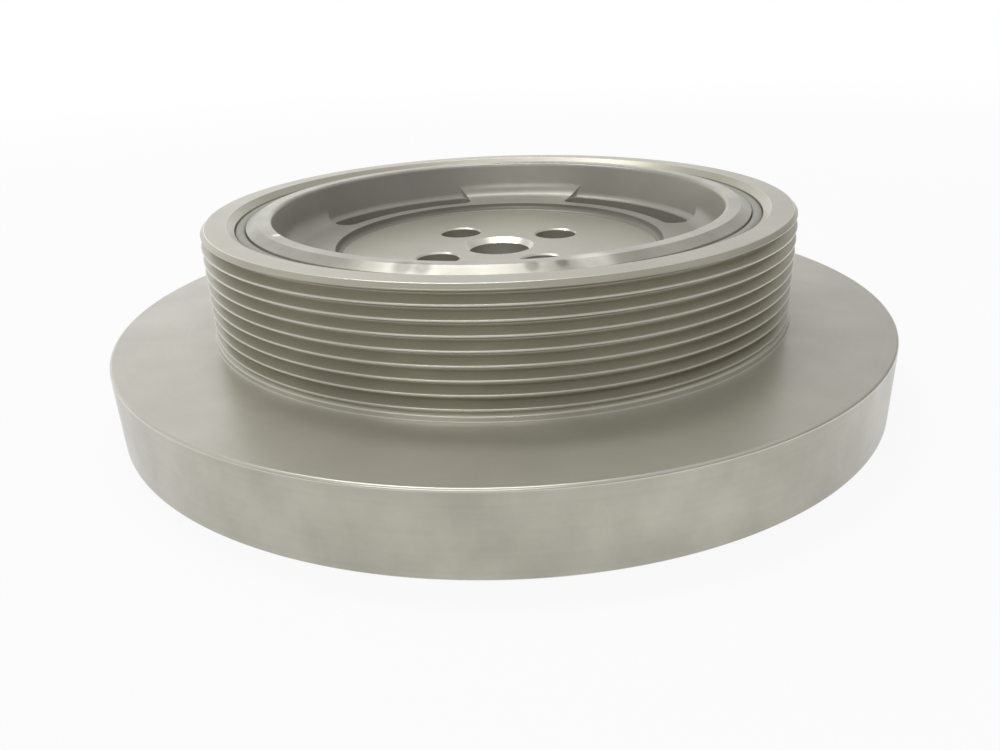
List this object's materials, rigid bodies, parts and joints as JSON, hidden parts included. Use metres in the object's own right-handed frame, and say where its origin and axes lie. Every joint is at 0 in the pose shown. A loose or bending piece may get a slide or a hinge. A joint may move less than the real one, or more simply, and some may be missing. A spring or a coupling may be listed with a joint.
{
  "type": "harmonic balancer",
  "caption": "Crankshaft harmonic balancer: one iron ring with a heavy disc and a grooved belt pulley, bonded by rubber to a dished hub with arc slots, a centre bore and a bolt circle.",
  "frame": {"origin": "centre of the disc's back face, on the crankshaft axis", "axes": "+Z along the crankshaft axis, out of the dish towards the pulley's free face; one pair of bolt holes lies 34 degrees from +X"},
  "size_m": [0.2342, 0.2342, 0.0544],
  "materials": {
    "hub_iron": "turned and grit blasted, grey phosphate coat",
    "damper_rubber": "moulded, dusted by the grey coat",
    "ring_iron": "turned, grey phosphate coat"
  },
  "bodies": {
    "root": {"hub": "hub_iron", "rubber_ring": "damper_rubber", "inertia_ring": "ring_iron"}
  },
  "joints": []
}
